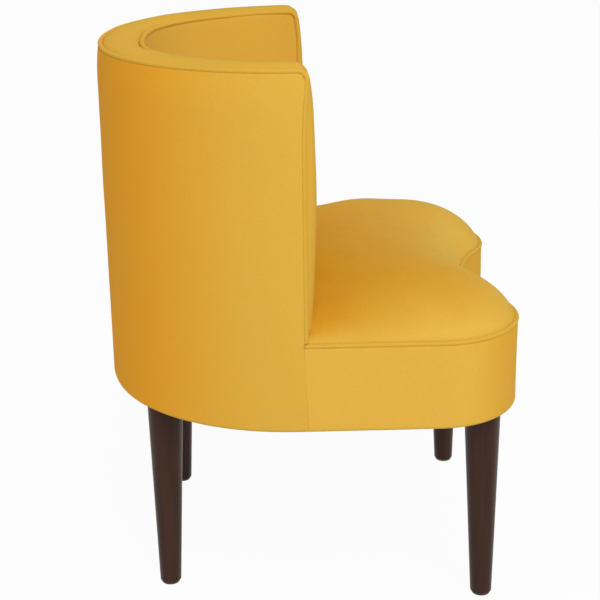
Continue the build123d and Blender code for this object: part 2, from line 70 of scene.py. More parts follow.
# Three-centred barrel
REAR_ARC_Y = HALF_DEPTH - REAR_ARC_RADIUS
ARC_STEP = SIDE_ARC_Y - REAR_ARC_Y
SIDE_ARC_RADIUS = ((REAR_ARC_RADIUS**2 - HALF_WIDTH**2 - ARC_STEP**2)
                   / (2 * (REAR_ARC_RADIUS - HALF_WIDTH)))
SIDE_ARC_X = HALF_WIDTH - SIDE_ARC_RADIUS
JOIN = math.degrees(math.atan2(ARC_STEP, SIDE_ARC_X))

# Kidney front
LOBE_X = HALF_WIDTH - LOBE_RADIUS
LOBE_Y = LOBE_RADIUS - HALF_DEPTH
NOTCH_RISE = LOBE_RADIUS - NOTCH_DEPTH
NOTCH_RADIUS = (LOBE_X**2 + NOTCH_RISE**2 - LOBE_RADIUS**2) / (2 * NOTCH_DEPTH)
NOTCH_Y = NOTCH_DEPTH - HALF_DEPTH - NOTCH_RADIUS
NOTCH_JOIN = math.degrees(math.atan2(LOBE_Y - NOTCH_Y, LOBE_X))

CORNER_Z = RIM_WELT_Z - CORNER_RADIUS
WELT_EDGE = CORNER_RADIUS - WELT_RADIUS + WELT_BED
SEAM_Y = WING_AXIS_Y - WELT_EDGE

# Distance between neighbouring points along a run
COVER_SPACING = 0.004
WELT_SPACING = 0.003
SEAT_SPACING = 0.002
DUST_SPACING = 0.006


# Plan lines

def plan_run(pieces, spacing):
    """Points and outward normals along straight and curved pieces of a plan line."""
    points, normals = [], []
    for kind, *facts in pieces:
        if kind == "straight":
            start, end, normal = facts
            length = math.dist(start, end)
        else:
            centre, radius, start, end, side = facts
            length = abs(math.radians(end - start)) * radius
        share = np.linspace(0, 1, max(3, round(length / spacing) + 1))[:, None]
        if kind == "straight":
            run = np.array(start) * (1 - share) + np.array(end) * share
            facing = np.tile(np.array(normal, float), (len(share), 1))
        else:
            turn = np.radians(start + (end - start) * share)
            way = np.hstack([np.cos(turn), np.sin(turn)])
            run = np.array(centre) + radius * way
            facing = side * way
        first = 1 if points else 0
        points.extend(run[first:])
        normals.extend(facing[first:])
    return np.array(points), np.array(normals)


def barrel_run(front_y, spacing):
    """The barrel from the left wing round the rear to the right wing."""
    return plan_run([
        ("straight", (HALF_WIDTH, front_y), (HALF_WIDTH, SIDE_ARC_Y), (1, 0)),
        ("curved", (SIDE_ARC_X, SIDE_ARC_Y), SIDE_ARC_RADIUS, 0, JOIN, 1),
        ("curved", (0, REAR_ARC_Y), REAR_ARC_RADIUS, JOIN, 180 - JOIN, 1),
        ("curved", (-SIDE_ARC_X, SIDE_ARC_Y), SIDE_ARC_RADIUS, 180 - JOIN, 180, 1),
        ("straight", (-HALF_WIDTH, SIDE_ARC_Y), (-HALF_WIDTH, front_y), (-1, 0)),
    ], spacing)


def seat_front_run(start_y, spacing):
    """The seat front from the right wing round both lobes and the notch to the left wing."""
    return plan_run([
        ("straight", (-HALF_WIDTH, start_y), (-HALF_WIDTH, LOBE_Y), (-1, 0)),
        ("curved", (-LOBE_X, LOBE_Y), LOBE_RADIUS, 180, 360 - NOTCH_JOIN, 1),
        ("curved", (0, NOTCH_Y), NOTCH_RADIUS, 180 - NOTCH_JOIN, NOTCH_JOIN, -1),
        ("curved", (LOBE_X, LOBE_Y), LOBE_RADIUS, NOTCH_JOIN - 180, 0, 1),
        ("straight", (HALF_WIDTH, LOBE_Y), (HALF_WIDTH, start_y), (1, 0)),
    ], spacing)


def end_distance(points):
    """Distance of each point of a run to the nearer end, along the run."""
    steps = np.linalg.norm(np.diff(points, axis=0), axis=1)
    along = np.concatenate([[0], np.cumsum(steps)])
    return np.minimum(along, along[-1] - along)


def graded(count, power):
    """Shares from 0 to 1, closer together at both ends."""
    even = np.linspace(-1, 1, count)
    return 0.5 + 0.5 * np.sign(even) * (1 - (1 - np.abs(even)) ** power)


def eased(value, low, high):
    """How far a value has come between two others, smoothly from 0 to 1."""
    share = np.clip((value - low) / (high - low), 0, 1)
    return share * share * (3 - 2 * share)


# Meshes

CREASE_ANGLE = math.radians(60)
WELT_SIDES = 20
WELT_UNEVEN = 0.05
WELT_BEATS = 60
BLOCK = 2000
CLOTH_STEPS = 20
STRETCH_PASSES = 24


def new_piece(name, verts, faces):
    """A smooth-shaded mesh object with its faces turned outward."""
    mesh = bpy.data.meshes.new(name)
    mesh.from_pydata([tuple(v) for v in verts], [], faces)
    shape = bmesh.new()
    shape.from_mesh(mesh)
    bmesh.ops.recalc_face_normals(shape, faces=shape.faces)
    shape.to_mesh(mesh)
    shape.free()
    mesh.polygons.foreach_set("use_smooth", [True] * len(mesh.polygons))
    piece = bpy.data.objects.new(name, mesh)
    bpy.context.scene.collection.objects.link(piece)
    return piece


def quads_of(index):
    """Quads between neighbouring rows and columns of an index grid."""
    corners = (index[:-1, :-1], index[1:, :-1], index[1:, 1:], index[:-1, 1:])
    return np.stack(corners, axis=-1).reshape(-1, 4)


def padded_shell(name, face, back):
    """Closed piece between a grid of points that shows and the hidden grid behind it."""
    rows, columns, _ = face.shape
    index = np.arange(rows * columns).reshape(rows, columns)
    far = index + rows * columns
    quads = quads_of(index).tolist() + quads_of(far)[:, ::-1].tolist()
    rim = np.concatenate([index[0], index[1:, -1], index[-1, -2::-1], index[-2:0:-1, 0]])
    behind = rim + rows * columns
    quads += np.stack([rim, np.roll(rim, -1), np.roll(behind, -1), behind], axis=-1).tolist()
    verts = np.concatenate([face.reshape(-1, 3), back.reshape(-1, 3)])
    shell = new_piece(name, verts, quads)
    shell.data.set_sharp_from_angle(angle=CREASE_ANGLE)
    return shell


def round_shell(name, face, back):
    """Closed piece between two sets of rings that run from an edge to a middle."""
    rings, count, _ = face.shape
    index = np.arange(rings * count).reshape(rings, count)
    wrapped = np.hstack([index, index[:, :1]])
    far = wrapped + rings * count
    faces = quads_of(wrapped).tolist() + quads_of(far)[:, ::-1].tolist()
    edge, behind = wrapped[0], far[0]
    faces += np.stack([edge[:-1], edge[1:], behind[1:], behind[:-1]], axis=-1).tolist()
    faces += [index[-1].tolist(), (index[-1] + rings * count)[::-1].tolist()]
    verts = np.concatenate([face.reshape(-1, 3), back.reshape(-1, 3)])
    return new_piece(name, verts, faces)


def piping(name, centres, across, up):
    """Welt: fabric round a cord, with the slight unevenness of hand sewing."""
    turn = np.linspace(0, 2 * math.pi, WELT_SIDES, endpoint=False)
    uneven = np.array([1 + WELT_UNEVEN * noise.noise(Vector(c) * WELT_BEATS) for c in centres])
    ring = WELT_RADIUS * uneven[:, None, None]
    verts = (centres[:, None] + ring * np.cos(turn)[None, :, None] * across[:, None]
             + ring * np.sin(turn)[None, :, None] * up[:, None])
    index = np.arange(len(centres) * WELT_SIDES).reshape(-1, WELT_SIDES)
    wrapped = np.hstack([index, index[:, :1]])
    faces = quads_of(wrapped).tolist() + [index[0].tolist(), index[-1][::-1].tolist()]
    return new_piece(name, verts.reshape(-1, 3), faces)


def settle(piece):
    """Replaces a piece's mesh by what its modifiers make of it."""
    graph = bpy.context.evaluated_depsgraph_get()
    shaped = bpy.data.meshes.new_from_object(piece.evaluated_get(graph))
    piece.modifiers.clear()
    piece.data = shaped
    shaped.polygons.foreach_set("use_smooth", [True] * len(shaped.polygons))
    return piece


def vertices(piece):
    """Vertex places of a piece as an array."""
    co = np.empty(len(piece.data.vertices) * 3)
    piece.data.vertices.foreach_get("co", co)
    return co.reshape(-1, 3)


def move_vertices(piece, co):
    """Puts a piece's vertices at new places."""
    piece.data.vertices.foreach_set("co", np.asarray(co, np.float32).ravel())
    piece.data.update()


def ripple(points, size, height):
    """Slow unevenness of stretched cloth at each point."""
    waves = np.array([noise.noise(Vector(p) / size) for p in points.reshape(-1, 3)])
    return height * waves.reshape(points.shape[:-1])


def raised(points, heights):
    """Places above each point of a plan line, at its row of heights."""
    return np.dstack([np.broadcast_to(points[:, None], heights.shape + (2,)), heights])


def groove(distance, depth, reach):
    """Depth of the dip that a seam draws into a cover, at each distance from the seam."""
    return depth * np.exp(-distance / reach)


def nearest_on(points, line):
    """Nearest place in plan to each point on a densely sampled line."""
    found = np.empty((len(points), 2))
    for start in range(0, len(points), BLOCK):
        gap = points[start:start + BLOCK, None, :2] - line[None]
        found[start:start + BLOCK] = line[(gap**2).sum(-1).argmin(-1)]
    return found


def near_line(points, line):
    """Distance in plan from each point to a densely sampled line."""
    return np.linalg.norm(points[:, :2] - nearest_on(points, line), axis=1)


def calmed(piece, field, passes):
    """Evens out a value held at each vertex along the edges of a mesh."""
    pairs = np.empty(len(piece.data.edges) * 2, np.int64)
    piece.data.edges.foreach_get("vertices", pairs)
    ends = pairs.reshape(-1, 2)
    count = np.bincount(pairs, minlength=len(field))[:, None]
    for _ in range(passes):
        total = np.zeros_like(field)
        np.add.at(total, ends[:, 0], field[ends[:, 1]])
        np.add.at(total, ends[:, 1], field[ends[:, 0]])
        field = 0.5 * field + 0.5 * total / count
    return field


def plump(piece, held, cap, pressure):
    """Blows up a stuffed piece as cloth, held where pinned, with each point's travel capped."""
    cloth = piece.modifiers.new("stuffing", "CLOTH")
    pins = piece.vertex_groups.new(name="sewn_down")
    pins.add([int(i) for i in np.flatnonzero(held)], 1.0, "REPLACE")
    cloth.settings.vertex_group_mass = pins.name
    cloth.settings.use_pressure = True
    cloth.settings.uniform_pressure_force = pressure
    cloth.settings.effector_weights.gravity = 0
    cloth.settings.quality = 5
    cloth.settings.mass = 0.35
    cloth.settings.tension_stiffness = 25
    cloth.settings.compression_stiffness = 25
    cloth.settings.shear_stiffness = 12
    cloth.settings.bending_stiffness = 4
    cloth.collision_settings.use_collision = False
    scene = bpy.context.scene
    before = vertices(piece)
    for step in range(1, CLOTH_STEPS + 1):
        scene.frame_set(step)
    graph = bpy.context.evaluated_depsgraph_get()
    blown = piece.evaluated_get(graph)
    after = np.empty(len(before) * 3)
    blown.data.vertices.foreach_get("co", after)
    travel = after.reshape(-1, 3) - before
    length = np.linalg.norm(travel, axis=1, keepdims=True)
    travel *= np.minimum(1, cap / np.maximum(length, 1e-9))
    travel = calmed(piece, travel, STRETCH_PASSES)
    travel[held] = 0
    piece.modifiers.clear()
    piece.vertex_groups.clear()
    scene.frame_set(1)
    move_vertices(piece, before + travel)


def remeshed(piece, voxel):
    """Evens out a closed piece into small quads."""
    grid = piece.modifiers.new("even", "REMESH")
    grid.mode = "VOXEL"
    grid.voxel_size = voxel
    grid.use_smooth_shade = True
    return settle(piece)


def refined(piece):
    """One subdivision of a finished soft piece."""
    finer = piece.modifiers.new("finer", "SUBSURF")
    finer.levels = finer.render_levels = 1
    return settle(piece)


# Lean and fullness of the back, and the outside covers

ROLL = 0.006
HEM = 0.026
HEM_THICKNESS = 0.0014
LEAST_THICKNESS = 0.0005
SEAM_LEAN = 0.005
LEAN_REACH = 0.06
FLARE = 0.0055
FLARE_FOOT = 0.690


def lean(ends, heights):
    """How far a wing's edge leans forward, below the seat and towards its top corner."""
    fall = np.clip((SEAT_WELT_Z - heights) / (SEAT_WELT_Z - UNDERSIDE_Z), 0, 1)
    climb = np.clip((heights - FLARE_FOOT) / (CORNER_Z - FLARE_FOOT), 0, 1)
    return (SEAM_LEAN * fall + FLARE * climb**2) * np.exp(-ends / LEAN_REACH)


INNER_LEAN_Z = (0.420, 0.700, 0.765, 0.794)
INNER_LEAN = (0.0075, 0.0085, 0.0085, 0.0050)


def inner_lean(ends, heights):
    """How far a wing's inner seam lies forward of the line of its outer one."""
    return np.interp(heights, INNER_LEAN_Z, INNER_LEAN) * np.exp(-ends / LEAN_REACH)


REAR_FULLNESS = 0.005
REAR_REACH = 0.085
WING_TAPER = 0.013
TAPER_FROM, TAPER_TO = 0.015, 0.14
TAPER_FOOT, TAPER_TOP = 0.46, 0.74


def inner_inset(ends, heights):
    """How far the back's inside lies from its outside: fuller at the rear, thinner at the wings' tops."""
    rear = REAR_FULLNESS * np.exp(-((ends.max() - ends) / REAR_REACH) ** 2)
    wing = WING_TAPER * (1 - eased(ends, TAPER_FROM, TAPER_TO))
    return WALL + (rear - wing) * eased(heights, TAPER_FOOT, TAPER_TOP)


def corner_top(ends):
    """Height of the back panels' edge, rounded at the wing corners."""
    short = np.minimum(ends, WELT_EDGE)
    return CORNER_Z + np.sqrt(WELT_EDGE**2 - (WELT_EDGE - short) ** 2)


RIM_DRAW = 0.004
DRAW_DEPTH = 0.055
INNER_DRAW = 0.5


def drawn_in(heights):
    """How far the outside of the back is drawn in towards its rim welt."""
    return RIM_DRAW * np.clip((heights - RIM_WELT_Z + DRAW_DEPTH) / DRAW_DEPTH, 0, 1) ** 2


def rolled_under(insets, heights):
    """Adds the roll under the base and the hem to the profile of a side cover."""
    stations = len(insets)
    turn = np.linspace(0, math.pi / 2, 12)[1:]
    low_inset = insets[:, -1:]
    roll_inset = low_inset + (ROLL - low_inset) * (1 - np.cos(turn))
    roll_height = np.broadcast_to(UNDERSIDE_Z + ROLL * (1 - np.sin(turn)), roll_inset.shape)
    hem_inset = np.broadcast_to(np.linspace(ROLL, HEM, 6)[1:], (stations, 5))
    hem_height = np.full((stations, 5), UNDERSIDE_Z)
    return np.hstack([insets, roll_inset, hem_inset]), np.hstack([heights, roll_height, hem_height])


def side_cover(name, points, normals, ends, insets, heights):
    """Closed side cover from its insets and heights at each station of a plan line."""
    insets, heights = rolled_under(insets, heights)
    shift = -lean(ends[:, None], heights)

    def placed(inset, height):
        place = points[:, None] - inset[..., None] * normals[:, None]
        return np.dstack([place[..., 0], place[..., 1] + shift, height])

    back_inset = np.maximum(insets + LEAST_THICKNESS, WADDING_BACK)
    back_height = np.maximum(heights, UNDERSIDE_Z + HEM_THICKNESS)
    return padded_shell(name, placed(insets, heights), placed(back_inset, back_height))


# Depth and reach of the grooves, size and height of the ripples
BACK_TOP_GROOVE = (0.0002, 0.006)
BACK_END_GROOVE = (0.0004, 0.0045)
BACK_RIPPLE = (0.11, 0.0008)
BACK_FINE_RIPPLE = (0.035, 0.00018)


def outside_back():
    """Cover of the barrel from its outer welt down and under the base."""
    points, normals = barrel_run(SEAM_Y, COVER_SPACING)
    ends = end_distance(points)
    tops = corner_top(ends)[:, None]
    share = graded(count=110, power=1.6)[None]
    heights = tops + (UNDERSIDE_Z + ROLL - tops) * share
    flat = raised(points, heights)
    insets = groove(tops - heights, *BACK_TOP_GROOVE) + groove(ends[:, None], *BACK_END_GROOVE)
    insets = insets + drawn_in(heights) + ripple(flat, *BACK_RIPPLE) + ripple(flat, *BACK_FINE_RIPPLE)
    return side_cover("outside_back", points, normals, ends, insets, heights)


BOXING_GAP = 0.00005
BOXING_DROP = 0.0012
BOXING_TOP_GROOVE = (0.0012, 0.0026)
BOXING_END_GROOVE = (0.0003, 0.0045)
BOXING_RIPPLE = (0.09, 0.0008)
BOXING_FINE_RIPPLE = (0.03, 0.0002)


def seat_boxing():
    """Cover of the seat's side from its welt down and under the base."""
    points, normals = seat_front_run(SEAM_Y - BOXING_GAP, COVER_SPACING)
    ends = end_distance(points)
    top = SEAT_WELT_Z - BOXING_DROP
    share = graded(count=46, power=1.5)[None]
    heights = np.broadcast_to(top + (UNDERSIDE_Z + ROLL - top) * share, (len(points), share.size))
    flat = raised(points, heights)
    insets = groove(top - heights, *BOXING_TOP_GROOVE) + groove(ends[:, None], *BOXING_END_GROOVE)
    insets = insets + ripple(flat, *BOXING_RIPPLE) + ripple(flat, *BOXING_FINE_RIPPLE)
    return side_cover("seat_boxing", points, normals, ends, insets, heights)


# Inside of the back

BACK_BULGE = 0.0045
BULGE_SHAPE = 0.8
BULGE_REACH = 0.05
INSIDE_GROOVE = (0.0012, 0.007)
INSIDE_RIPPLE = (0.10, 0.0008)


def inside_back():
    """Cover of the back's foam, from its inner welt down behind the seat."""
    points, normals = barrel_run(SEAM_Y, COVER_SPACING)
    ends = end_distance(points)
    tops = corner_top(ends)[:, None]
    share = graded(count=90, power=1.5)[None]
    heights = tops + (INNER_FOOT_Z - tops) * share
    flat = raised(points, heights)
    span = np.clip((tops - heights) / (tops - SEAT_WELT_Z), 0, 1)
    belly = np.sin(math.pi * span) ** BULGE_SHAPE * (1 - np.exp(-ends[:, None] / BULGE_REACH))
    insets = inner_inset(ends[:, None], heights) + INNER_DRAW * drawn_in(heights) + BACK_BULGE * belly
    insets = insets - groove(tops - heights, *INSIDE_GROOVE) - groove(ends[:, None], *INSIDE_GROOVE)
    insets = insets + ripple(flat, *INSIDE_RIPPLE)

    def placed(inset):
        place = points[:, None] - inset[..., None] * normals[:, None]
        return np.dstack([place[..., 0], place[..., 1] - inner_lean(ends[:, None], heights), heights])

    return padded_shell("inside_back", placed(insets), placed(np.full_like(insets, FOAM_BACK)))


# Border band and welts

BAND_OUTER = 0.0061
BAND_GROOVE = 0.0096
BAND_BASE = 0.0022
BAND_RIPPLE = (0.06, 0.0006)
BAND_FULLNESS = 2.0
RIM_APEX = 0.0206
CORNER_DIP = 0.0030
CORNER_STEPS = 12
APEX_PASSES = 12
WING_APEX_Z = (0.420, 0.445, 0.500, 0.600, 0.655, 0.710, 0.760, 0.794)
WING_APEX = (0.0200, 0.0215, 0.0250, 0.0290, 0.0295, 0.0280, 0.0262, 0.0220)
FOOT_TUCK_Z = 0.428
FOOT_FULL_Z = 0.446
FOOT_WRAP = 0.018
OUTER_WELT_SINK = 0.0007
OUTER_WELT_CLEAR = 0.0003
SEAT_WELT_GAP = 0.0001


def border_stations(foot_z, spacing, seam_lean):
    """Origins, inward and outward directions along a border seam, from left wing foot to right."""
    points, normals = barrel_run(WING_AXIS_Y, spacing)
    climb = np.linspace(foot_z, CORNER_Z, round((CORNER_Z - foot_z) / spacing) + 1)[:-1]
    tips = np.radians(np.linspace(90, 0, CORNER_STEPS + 1)[:-1])
    wing = [((HALF_WIDTH, WING_AXIS_Y, z), (-1, 0, 0), (0, -1, 0)) for z in climb]
    pivot = (HALF_WIDTH, WING_AXIS_Y, CORNER_Z)
    corner = [(pivot, (-1, 0, 0), (0, -math.sin(a), math.cos(a))) for a in tips]
    rim = [((x, y, CORNER_Z), (-nx, -ny, 0), (0, 0, 1)) for (x, y), (nx, ny) in zip(points, normals)]
    left = np.array(wing + corner, float)
    right = left[::-1].copy()
    right[:, :, 0] *= -1
    stations = np.concatenate([left, np.array(rim, float), right])
    ends = np.concatenate([np.zeros(len(left)), end_distance(points), np.zeros(len(right))])
    stations[:, 0, 1] -= seam_lean(ends, np.maximum(stations[:, 0, 2], SEAT_WELT_Z))
    return stations, ends


def swell(share):
    """Fullness of the band at each share of its width."""
    return (1 - np.abs(2 * share - 1) ** BAND_FULLNESS) ** (1 / BAND_FULLNESS)


def border_band():
    """Padded band between the two welts of the back, up the wings and along the rim."""
    outer, ends = border_stations(INNER_FOOT_Z, COVER_SPACING, lean)
    inner, _ = border_stations(INNER_FOOT_Z, COVER_SPACING, inner_lean)
    inward, outward = outer[:, 1], outer[:, 2]
    wing_apex = np.interp(outer[:, 0, 2], WING_APEX_Z, WING_APEX)
    upward = np.clip(outward[:, 2], 0, 1)
    apex = wing_apex * (1 - upward) + RIM_APEX * upward + 2 * CORNER_DIP * upward * outward[:, 1]
    for _ in range(APEX_PASSES):
        apex[1:-1] = (apex[:-2] + 2 * apex[1:-1] + apex[2:]) / 4
    share = graded(count=34, power=1.5)
    origin = outer[:, None, 0] + share[None, :, None] * (inner - outer)[:, None, 0]
    forward = outward[:, None, 1] * (origin[..., 1] - WING_AXIS_Y)
    height = outer[:, 0, 2] + CORNER_RADIUS * upward
    first = (BAND_OUTER + drawn_in(height))[:, None]
    last = (inner_inset(ends, height) - BAND_OUTER + INNER_DRAW * drawn_in(height))[:, None]
    across = first + (last - first) * share[None]
    flat = origin + across[..., None] * inward[:, None]
    full = np.maximum(apex[:, None] - forward - BAND_GROOVE, 0) * swell(share)[None]
    rise = BAND_GROOVE + full * eased(outer[:, 0, 2], FOOT_TUCK_Z, FOOT_FULL_Z)[:, None]
    rise = rise + ripple(flat, *BAND_RIPPLE) * np.sin(math.pi * share)[None]
    face = flat + rise[..., None] * outward[:, None]
    back = flat + BAND_BASE * outward[:, None]
    return padded_shell("border_band", face, back)


def outer_seam(ends, heights):
    """How far in from the chair's outside the outer welt runs."""
    return WELT_INSET + OUTER_WELT_SINK + drawn_in(heights)


def inner_seam(ends, heights):
    """How far in from the chair's outside the inner welt runs."""
    return inner_inset(ends, heights) - WELT_INSET + INNER_DRAW * drawn_in(heights)


def border_welt(name, seam, seam_lean, foot_z):
    """Welt along one seam of the border."""
    stations, ends = border_stations(foot_z, WELT_SPACING, seam_lean)
    edge = stations[:, 0] + CORNER_RADIUS * stations[:, 2]
    centres = edge + seam(ends, edge[:, 2])[:, None] * stations[:, 1]
    return piping(name, centres, stations[:, 1], stations[:, 2])


def seat_welt():
    """Welt round the seat's front edge."""
    points, normals = seat_front_run(SEAM_Y - SEAT_WELT_GAP, WELT_SPACING)
    place = points - WELT_INSET * normals
    centres = np.column_stack([place, np.full(len(place), SEAT_WELT_Z)])
    across = np.column_stack([normals, np.zeros(len(place))])
    up = np.tile([0.0, 0.0, 1.0], (len(place), 1))
    return piping("seat_welt_piping", centres, across, up)


# Seat cushion

SEAT_EDGE_INSET = 0.0042
SEAT_EDGE_Z = 0.4295
SEAT_RISE = 0.0730
SEAT_TILT = -0.009
SEAT_SOFT = 0.110
TUCK_DROP = 0.022
TUCK_SOFT = 0.110
TUCK_EASE = 0.065
SEAT_BACK_INSET = 0.0662
BAND_CLEAR = -0.0008
EDGE_ROLL = 0.0050
ROLL_WIDTH = 0.016
FOOT_LIFT = 0.0060
LIFT_WIDTH = 0.016
LIFT_REACH = 0.016
SEAT_VOXEL = 0.004
SEAT_SWELL = 0.005
SEAT_PRESSURE = 3.0
SEAM_HOLD = 0.006
SEAT_MIDDLE = np.array([0.0, -0.03])
SEAT_RINGS = 60
SEAT_LAST_RING = 0.985
RING_CROWDING = 1.2
NEAREST = 0.001
TOP_FACING = 0.5
TOP_DEPTH = 0.006
TOP_MARGIN = 0.003
WALL_DEPTH = 0.001
HELD_DEPTH = 0.004


def evened_distance(points, loop):
    """Distance in plan from a closed line, blended between runs of it that face each other."""
    steps = np.linalg.norm(np.roll(loop, -1, axis=0) - loop, axis=1)
    found = np.empty(len(points))
    for start in range(0, len(points), BLOCK):
        gap = np.sqrt(((points[start:start + BLOCK, None, :2] - loop[None]) ** 2).sum(-1))
        found[start:start + BLOCK] = (steps / np.maximum(gap, NEAREST) ** 3).sum(-1)
    return (found / 2) ** -0.5


def band_front(insets):
    """Where the wing's band comes to at the seat, at each distance in from the chair's side."""
    share = np.clip((insets - BAND_OUTER) / (WALL - 2 * BAND_OUTER), 0, 1)
    seams = BAND_GROOVE + INNER_LEAN[0] * share
    wrap = eased(insets, SEAT_EDGE_INSET, SEAT_EDGE_INSET + FOOT_WRAP)
    band = seams + (WING_APEX[1] - seams) * swell(share) * wrap
    beside = np.clip(np.abs(insets - WALL + WELT_INSET) / WELT_RADIUS, 0, 1)
    welt = CORNER_RADIUS + INNER_LEAN[0] + WELT_RADIUS * np.sqrt(1 - beside**2)
    return WING_AXIS_Y - np.where(beside < 1, np.maximum(band, welt), band)


def seat_lines(spacing):
    """Plan lines of the seat: its welted front, its tuck along wings and back, and the chair's edge."""
    steps = round((SEAT_BACK_INSET - SEAT_EDGE_INSET) / spacing)
    insets = np.linspace(SEAT_EDGE_INSET, SEAT_BACK_INSET, steps + 1)
    shelf = np.column_stack([HALF_WIDTH - insets, band_front(insets) - BAND_CLEAR])
    other = shelf[::-1] * (-1, 1)
    points, normals = seat_front_run(shelf[0, 1], spacing)
    front = points - SEAT_EDGE_INSET * normals
    points, normals = barrel_run(shelf[-1, 1], spacing)
    back = points - SEAT_BACK_INSET * normals
    tuck = np.concatenate([shelf[:-1], back, other[1:]])
    edge = np.concatenate([front, points - SEAT_EDGE_INSET * normals])
    return front, tuck, edge


def seat_height(places, tuck, edge):
    """Height of the seat's top at each plan point: a dome with a rolled edge, drawn down at the back."""
    rise = SEAT_RISE + SEAT_TILT * places[:, 1]
    inside = evened_distance(places, edge)
    dome = rise * (1 - (1 - np.clip(inside / SEAT_SOFT, 0, 1)) ** 2)
    rolled = inside / ROLL_WIDTH
    roll = EDGE_ROLL * rolled * np.exp(1 - rolled)
    ahead = np.maximum(tuck[0, 1] - places[:, 1], 0)
    lift = FOOT_LIFT * np.exp(-inside / LIFT_WIDTH - ahead / LIFT_REACH)
    drawn = np.clip(1 - near_line(places, tuck) / TUCK_SOFT, 0, 1) ** 2
    return SEAT_EDGE_Z + dome + roll + lift - TUCK_DROP * drawn * np.clip(dome / TUCK_EASE, 0, 1) ** 2


def seat_cushion():
    """The seat's top with its foam, evened into small quads and plumped as cloth."""
    front, tuck, edge = seat_lines(SEAT_SPACING)
    loop = np.concatenate([front, tuck[1:-1]])
    shares = np.linspace(0, SEAT_LAST_RING, SEAT_RINGS) ** RING_CROWDING
    rings = loop[None] + shares[:, None, None] * (SEAT_MIDDLE - loop)[None]
    heights = seat_height(rings.reshape(-1, 2), tuck, edge).reshape(rings.shape[:2])
    face = np.dstack([rings, heights])
    back = np.dstack([rings, np.full(rings.shape[:2], DECK_Z)])
    cushion = remeshed(round_shell("seat_cushion", face, back), SEAT_VOXEL)
    co = vertices(cushion)
    top = seat_height(co, tuck, edge)
    from_front, from_tuck = near_line(co, front), near_line(co, tuck)
    facing = np.empty(len(co) * 3)
    cushion.data.vertex_normals.foreach_get("vector", facing)
    flat = facing[2::3] > TOP_FACING
    wall = (from_tuck < SEAT_VOXEL) & ~flat & (co[:, 2] < top - WALL_DEPTH)
    co[wall, :2] = nearest_on(co[wall], tuck)
    upper = (co[:, 2] > top - TOP_DEPTH) & (from_front > TOP_MARGIN) & (flat | (from_tuck > TOP_MARGIN))
    co[upper, 2] = top[upper]
    seam = np.minimum(from_front, from_tuck)
    move_vertices(cushion, co)
    held = (co[:, 2] < SEAT_EDGE_Z - HELD_DEPTH) | (seam < SEAM_HOLD)
    plump(cushion, held, SEAT_SWELL, SEAT_PRESSURE)
    return refined(cushion)


# Dust cover

DUST_INSET = 0.0145
DUST_Z = 0.2993
DUST_SAG = 0.0045
DUST_THICKNESS = 0.0006
DUST_RINGS = 34
DUST_LAST_RING = 0.97
STAPLE_PITCH = 0.06
PUCKER_HEIGHT = 0.0005
PUCKER_REACH = 0.10
LEG_TOPS = ((0.2295, -0.249), (-0.2295, -0.249), (0.1735, 0.2135), (-0.1735, 0.2135))
LEG_ROOM_RADIUS = 0.0274
LEG_ROOM_Z = (0.2900, 0.3030)
LEG_ROOM_SIDES = 48


def dust_sheet():
    """Thin cloth under the base, sagging a little and puckered between its staples."""
    back_points, back_normals = barrel_run(SEAM_Y, DUST_SPACING)
    points, normals = seat_front_run(SEAM_Y, DUST_SPACING)
    points = np.concatenate([points, back_points[1:-1]])
    normals = np.concatenate([normals, back_normals[1:-1]])
    loop = points - DUST_INSET * normals
    steps = np.linalg.norm(np.diff(loop, axis=0), axis=1)
    along = np.concatenate([[0], np.cumsum(steps)])
    shares = np.linspace(0, DUST_LAST_RING, DUST_RINGS)
    rings = loop[None] * (1 - shares[:, None, None])
    pucker = np.cos(2 * math.pi * along / STAPLE_PITCH)[None] * np.exp(-shares / PUCKER_REACH)[:, None]
    sag = DUST_SAG * (1 - (1 - shares[:, None]) ** 2)
    heights = DUST_Z - sag - PUCKER_HEIGHT * pucker * (shares[:, None] > 0.0)
    face = np.dstack([rings, np.broadcast_to(heights, rings.shape[:2])])
    back = face + (0, 0, DUST_THICKNESS)
    return round_shell("dust_sheet", face, back)


def leg_room(piece):
    """Cuts the room for the leg tops out of a cover's underside."""
    turn = np.linspace(0, 2 * math.pi, LEG_ROOM_SIDES, endpoint=False)
    circle = LEG_ROOM_RADIUS * np.column_stack([np.cos(turn), np.sin(turn)])
    verts, faces = [], []
    for top in LEG_TOPS:
        first = len(verts)
        for z in LEG_ROOM_Z:
            verts += [(x + top[0], y + top[1], z) for x, y in circle]
        low = list(range(first, first + LEG_ROOM_SIDES))
        high = [i + LEG_ROOM_SIDES for i in low]
        faces += [(low[i - 1], low[i], high[i], high[i - 1]) for i in range(LEG_ROOM_SIDES)]
        faces += [low[::-1], high]
    cutter = new_piece("leg_room", verts, faces)
    carve = piece.modifiers.new("legs", "BOOLEAN")
    carve.operation = "DIFFERENCE"
    carve.solver = "EXACT"
    carve.object = cutter
    settle(piece)
    bpy.data.objects.remove(cutter)
    return piece


# Node groups

# Height over which the velvet's painted shade fades in; below it the velvet keeps its Light tone, a painted
# lighter strip
SHADE_FADE_SPAN = 0.018


def node(tree, kind, values=None, **settings):
    """A node with its settings and unlinked input values."""
    made = tree.nodes.new(kind)
    for key, value in settings.items():
        setattr(made, key, value)
    for key, value in (values or {}).items():
        made.inputs[key].default_value = value
    return made


def effect_group(name, inputs, outputs):
    """An empty shader node group with named sockets, and its input and output nodes."""
    tree = bpy.data.node_groups.new(name, "ShaderNodeTree")
    kinds = {"colour": "NodeSocketColor", "value": "NodeSocketFloat", "vector": "NodeSocketVector"}
    for socket, kind, start in inputs:
        made = tree.interface.new_socket(name=socket, in_out="INPUT", socket_type=kinds[kind])
        made.default_value = start
    for socket, kind in outputs:
        tree.interface.new_socket(name=socket, in_out="OUTPUT", socket_type=kinds[kind])
    return tree, tree.nodes.new("NodeGroupInput"), tree.nodes.new("NodeGroupOutput")


